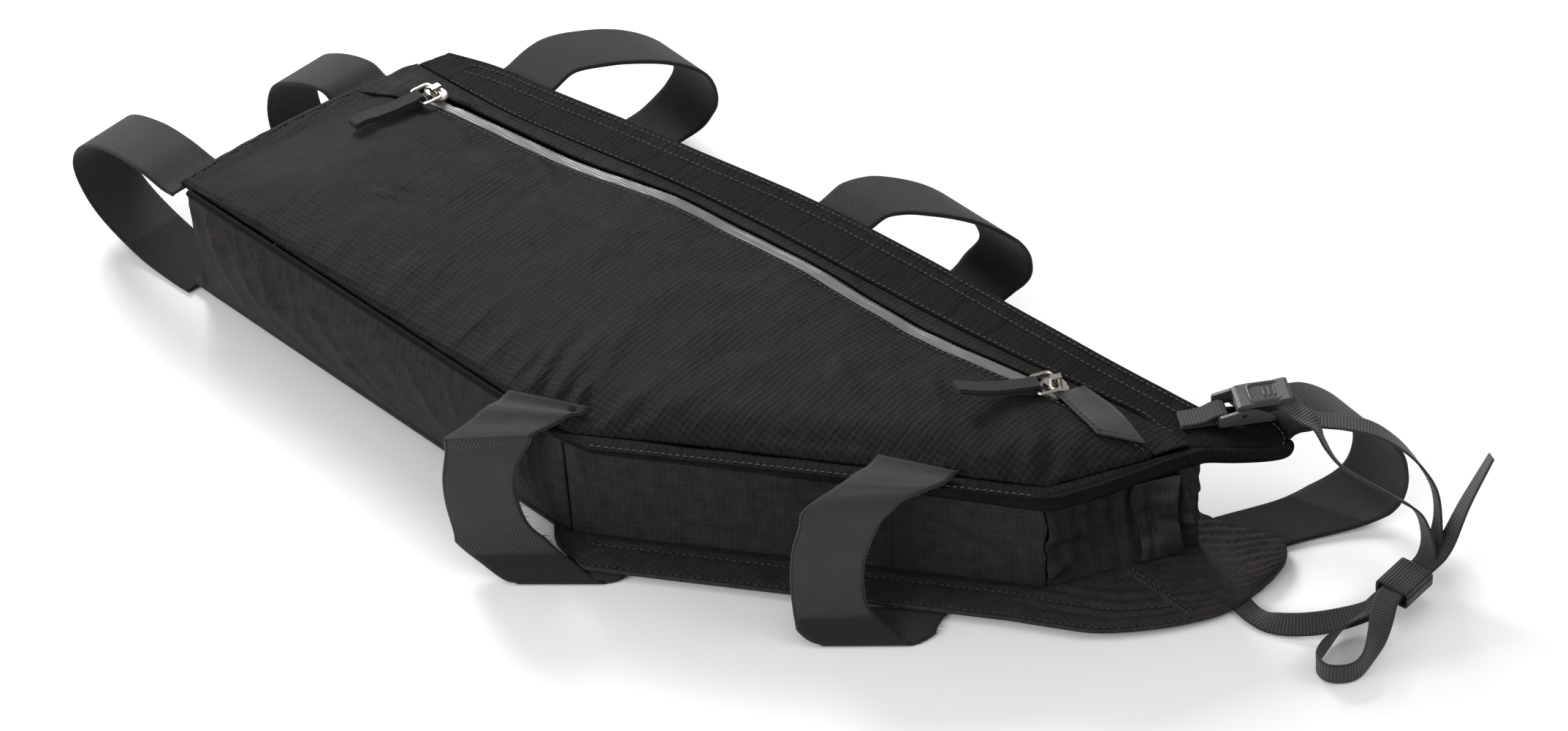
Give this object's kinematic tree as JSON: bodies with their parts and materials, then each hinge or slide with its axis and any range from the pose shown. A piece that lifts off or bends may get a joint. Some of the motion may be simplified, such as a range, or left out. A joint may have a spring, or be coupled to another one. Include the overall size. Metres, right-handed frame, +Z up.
{
  "type": "bicycle frame bag",
  "caption": "Triangular cloth frame bag lying on its side, with a curved top zipper, hook-and-loop strap loops, flanged edges and a webbing adjuster with a cam buckle.",
  "frame": {"origin": "a point on the flat underside of the lower panel, near the middle of the bag, on the floor it lies on", "axes": "+X along the top-tube edge from the seat end to the front tip, +Y across the bag to the top-tube edge, +Z up from the floor through the bag's thickness"},
  "size_m": [0.6243, 0.2807, 0.0787],
  "materials": {
    "ripstop": "near-black ripstop cloth with a fine square grid and a soft sheen",
    "strap_twill": "matte dark grey twill and ribbed webbing",
    "coated_cloth": "smooth coated grey cloth, slightly glossy",
    "buckle_plastic": "semi-gloss dark grey moulded plastic",
    "nickel": "nickel-plated metal"
  },
  "bodies": {
    "body": {"adjuster_webbing": "strap_twill", "bottom_gusset": "ripstop", "bottom_piping": "strap_twill", "buckle_frame": "buckle_plastic", "buckle_pin": "nickel", "buckle_tab": "strap_twill", "down_flange": "ripstop", "down_tube_wall": "ripstop", "front_wall": "ripstop", "lower_panel": "ripstop", "port_flap": "coated_cloth", "pull_ring_front": "nickel", "pull_ring_rear": "nickel", "pull_tab_front": "strap_twill", "pull_tab_rear": "strap_twill", "seat_flange": "ripstop", "seat_tube_wall": "ripstop", "side_panel": "ripstop", "strap_down_front": "strap_twill", "strap_down_rear": "strap_twill", "strap_seat_lower": "strap_twill", "strap_seat_upper": "strap_twill", "strap_top_front": "strap_twill", "strap_top_rear": "strap_twill", "strap_top_tip": "strap_twill", "top_band": "ripstop", "top_tube_wall": "ripstop", "webbing_keeper": "strap_twill", "zip_garage": "coated_cloth", "zip_panel": "ripstop", "zipper_coil": "strap_twill", "zipper_slider_front": "nickel", "zipper_slider_rear": "nickel", "zipper_tape": "coated_cloth"},
    "lever": {"buckle_lever": "buckle_plastic"}
  },
  "joints": [
    {"name": "buckle_lever_hinge", "type": "hinge", "parent": "body", "child": "lever", "pos_m": [0.23237, 0.09954, 0.0657], "axis": [0.766, -0.6428, 0], "range_deg": [0, 70]}
  ]
}
